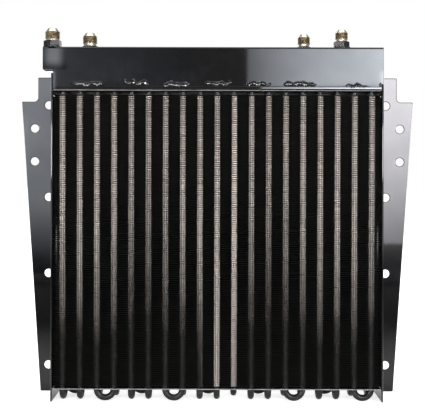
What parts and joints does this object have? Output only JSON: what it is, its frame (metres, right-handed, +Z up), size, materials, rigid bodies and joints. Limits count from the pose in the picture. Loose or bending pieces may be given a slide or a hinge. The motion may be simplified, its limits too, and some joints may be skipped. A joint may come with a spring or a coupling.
{
  "type": "hydraulic oil cooler",
  "caption": "Tube-and-fin oil cooler with two separate oil circuits, a folded header cover with flare ports, and side plates with tapered bolting flanges.",
  "frame": {"origin": "middle of the underside, level with the lowest points of the hairpin bends", "axes": "+X to the right as seen from the front, +Y to the back where the bolting flanges are, +Z up through the ports"},
  "size_m": [0.6032, 0.082, 0.551],
  "materials": {
    "black_enamel": "gloss black enamel on folded steel",
    "fin_black": "thin black paint on aluminium fins",
    "tube_metal": "drawn steel tube with a light dusting of paint",
    "yellow_zinc": "yellow zinc plating on steel, painted black on the hexagons"
  },
  "bodies": {
    "root": {"blank_tube": "tube_metal", "bottom_tube_sheet": "black_enamel", "crossover_bend_01": "tube_metal", "crossover_bend_02": "tube_metal", "crossover_bend_03": "tube_metal", "crossover_bend_04": "tube_metal", "crossover_bend_05": "tube_metal", "crossover_bend_06": "tube_metal", "crossover_bend_07": "tube_metal", "crossover_bend_08": "tube_metal", "crossover_bend_09": "tube_metal", "crossover_bend_10": "tube_metal", "crossover_bend_11": "tube_metal", "crossover_bend_12": "tube_metal", "crossover_bend_13": "tube_metal", "crossover_bend_14": "tube_metal", "fin_pack": "fin_black", "hairpin_tube_01": "tube_metal", "hairpin_tube_02": "tube_metal", "hairpin_tube_03": "tube_metal", "hairpin_tube_04": "tube_metal", "hairpin_tube_05": "tube_metal", "hairpin_tube_06": "tube_metal", "hairpin_tube_07": "tube_metal", "hairpin_tube_08": "tube_metal", "hairpin_tube_09": "tube_metal", "hairpin_tube_10": "tube_metal", "hairpin_tube_11": "tube_metal", "hairpin_tube_12": "tube_metal", "hairpin_tube_13": "tube_metal", "hairpin_tube_14": "tube_metal", "hairpin_tube_15": "tube_metal", "hairpin_tube_16": "tube_metal", "hairpin_tube_17": "tube_metal", "hairpin_tube_18": "tube_metal", "hairpin_tube_19": "tube_metal", "hairpin_tube_20": "tube_metal", "hairpin_tube_21": "tube_metal", "hairpin_tube_22": "tube_metal", "hairpin_tube_23": "tube_metal", "hairpin_tube_24": "tube_metal", "hairpin_tube_25": "tube_metal", "hairpin_tube_26": "tube_metal", "hairpin_tube_27": "tube_metal", "hairpin_tube_28": "tube_metal", "header_cover": "black_enamel", "left_back_fitting": "yellow_zinc", "left_back_manifold": "tube_metal", "left_cover_end": "black_enamel", "left_front_fitting": "yellow_zinc", "left_front_manifold": "tube_metal", "left_side_plate": "black_enamel", "right_back_fitting": "yellow_zinc", "right_back_manifold": "tube_metal", "right_cover_end": "black_enamel", "right_front_fitting": "yellow_zinc", "right_front_manifold": "tube_metal", "right_side_plate": "black_enamel", "top_tube_sheet": "black_enamel"}
  },
  "joints": []
}
